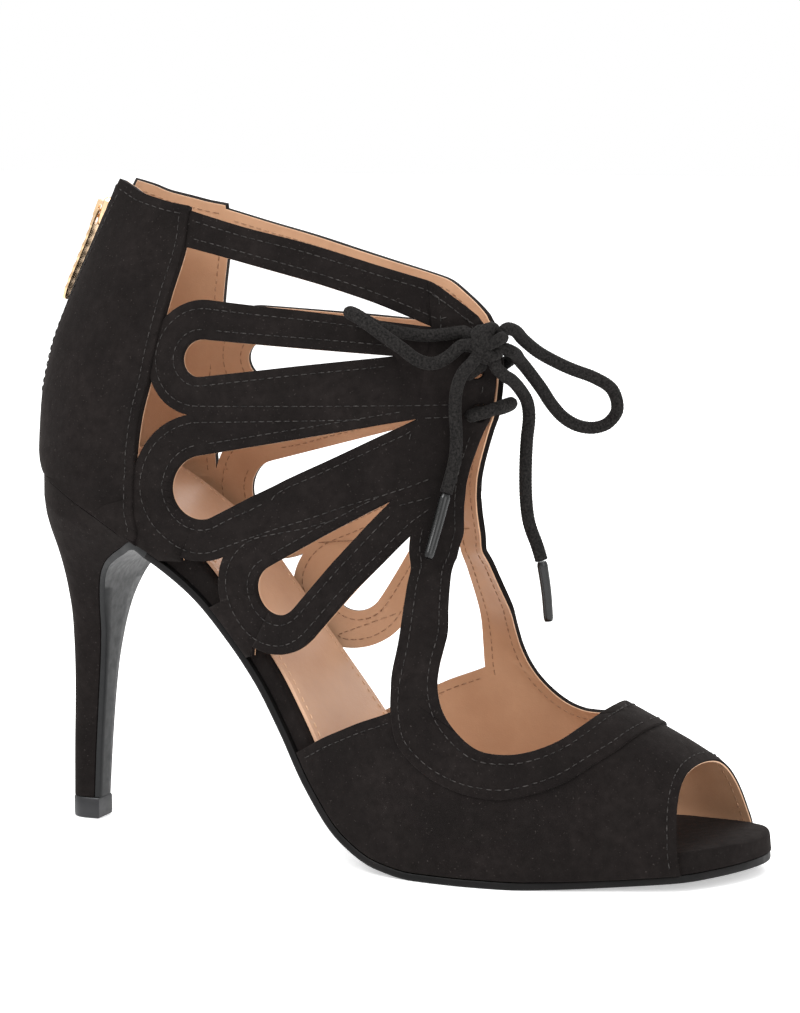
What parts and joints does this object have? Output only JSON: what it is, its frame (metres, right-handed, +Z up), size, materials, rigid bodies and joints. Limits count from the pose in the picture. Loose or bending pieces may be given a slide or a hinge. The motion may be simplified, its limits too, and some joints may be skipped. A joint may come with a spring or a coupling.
{
  "type": "lace up heel",
  "caption": "Right foot peep toe sandal bootie with petal cut-outs, a back zip, laced facings and a stiletto heel.",
  "frame": {"origin": "on the floor, under the middle of the heel tip", "axes": "+X to the toe, +Y to the inner side of the foot, +Z up"},
  "size_m": [0.2094, 0.0776, 0.1813],
  "materials": {
    "suede_black": "matte",
    "leather_tan": "satin",
    "outsole_black": "satin",
    "plastic_black": "satin",
    "tape_black": "matte",
    "metal_gold": "polished",
    "cord_black": "matte",
    "aglet_black": "gloss"
  },
  "bodies": {
    "shoe": {"upper": "suede_black", "insole_board": "suede_black", "insole_sock": "leather_tan", "outsole": "outsole_black", "heel": "suede_black", "top_lift": "plastic_black", "zip_tape": "tape_black", "zip_slider": "metal_gold", "lace_bar": "cord_black", "lace_rise_near": "cord_black", "lace_rise_far": "cord_black", "lace_knot": "cord_black", "lace_loop_near": "cord_black", "lace_loop_far": "cord_black", "lace_end_near": "cord_black", "lace_end_far": "cord_black", "aglet_near": "aglet_black", "aglet_far": "aglet_black"},
    "pull_tab": {"zip_pull_tab": "metal_gold"}
  },
  "joints": [
    {"name": "tab_hinge", "type": "hinge", "parent": "shoe", "child": "pull_tab", "pos_m": [0.00576, 0, 0.17255], "axis": [0, 1, 0], "range_deg": [0, 150]}
  ]
}
